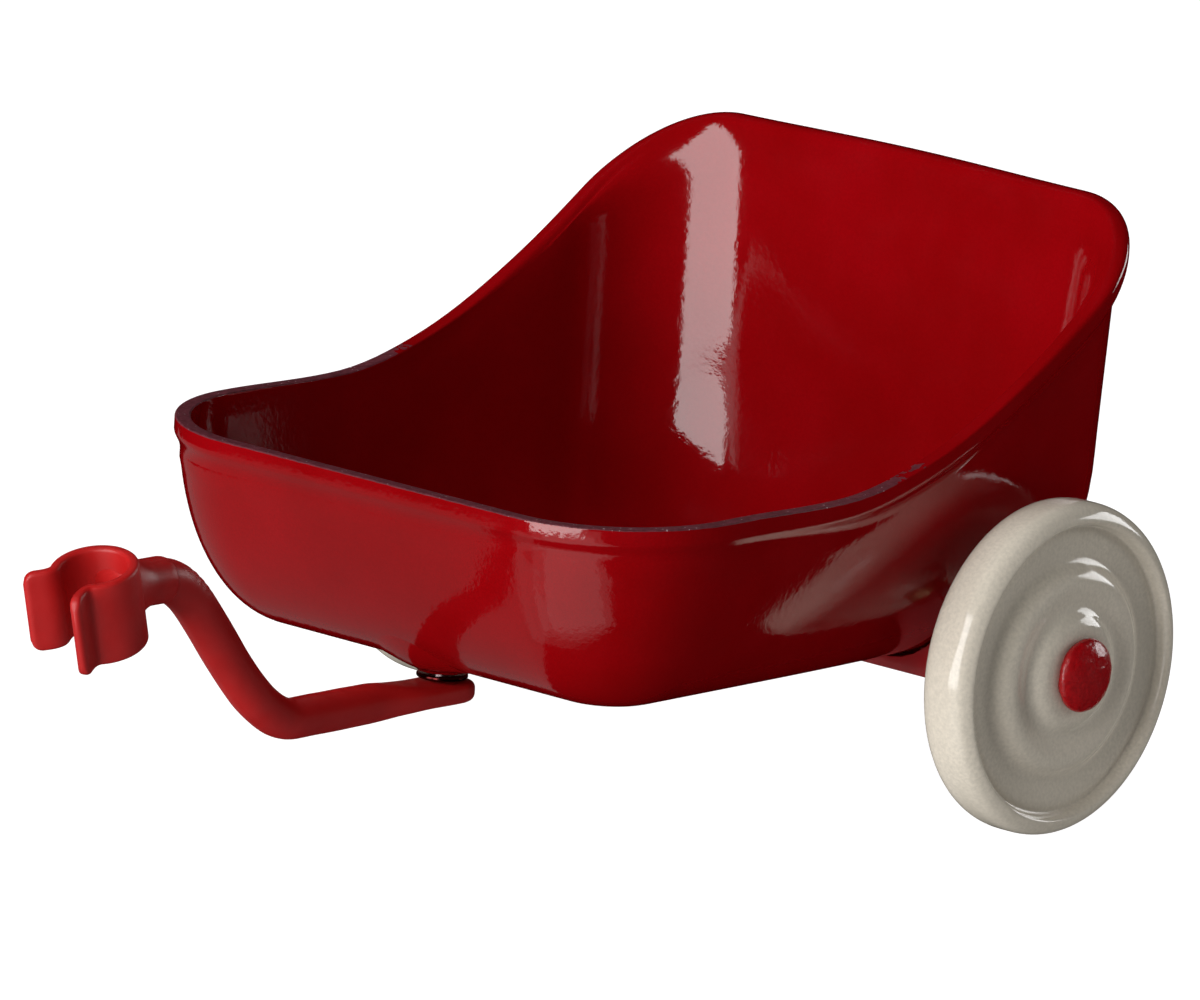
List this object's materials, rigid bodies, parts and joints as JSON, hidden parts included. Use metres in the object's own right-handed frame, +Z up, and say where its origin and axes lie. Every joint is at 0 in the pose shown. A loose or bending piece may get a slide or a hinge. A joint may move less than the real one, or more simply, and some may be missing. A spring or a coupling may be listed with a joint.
{
  "type": "toy wagon trailer with tow bar",
  "caption": "Doll-size two-wheeled trailer: an enamelled tub with a high back on disc wheels, pulled by a swivelling tow bar with a snap clip.",
  "frame": {"origin": "on the ground, under the middle of the whole trailer", "axes": "+Z up, the tow bar points to -Y, the high back of the tub is towards +Y, +X is the side whose wheel is called left"},
  "size_m": [0.0976, 0.1324, 0.0639],
  "materials": {
    "tub_enamel": "glossy red vitreous enamel with a faint orange-peel texture",
    "wheel_enamel": "glossy cream enamel",
    "cap_enamel": "glossy red enamel, slightly uneven",
    "bracket_paint": "satin red paint",
    "red_plastic": "satin moulded red",
    "steel": "plain zinc-plated steel",
    "dark_steel": "dark oiled steel",
    "brass": "plain brass"
  },
  "bodies": {
    "chassis": {"tub": "tub_enamel", "axle_bracket": "bracket_paint", "pivot_washer": "dark_steel", "left_rivet": "bracket_paint", "left_stub_axle": "steel", "left_spacer": "brass", "left_hub_cap": "cap_enamel", "right_rivet": "bracket_paint", "right_stub_axle": "steel", "right_spacer": "brass", "right_hub_cap": "cap_enamel"},
    "left_wheel": {"left_wheel": "wheel_enamel"},
    "right_wheel": {"right_wheel": "wheel_enamel"},
    "tow_bar": {"tow_bar": "red_plastic", "hitch_clip": "red_plastic", "pivot_screw": "steel"}
  },
  "joints": [
    {"name": "left_wheel_spin", "type": "hinge", "parent": "chassis", "child": "left_wheel", "pos_m": [0.0424, 0.04318, 0.018], "axis": [1, 0, 0], "continuous": true},
    {"name": "right_wheel_spin", "type": "hinge", "parent": "chassis", "child": "right_wheel", "pos_m": [-0.0424, 0.04318, 0.018], "axis": [1, 0, 0], "continuous": true},
    {"name": "tow_bar_swivel", "type": "hinge", "parent": "chassis", "child": "tow_bar", "pos_m": [0, -0.00559, 0.013], "axis": [0, 0, 1], "range_deg": [-60, 60]}
  ]
}
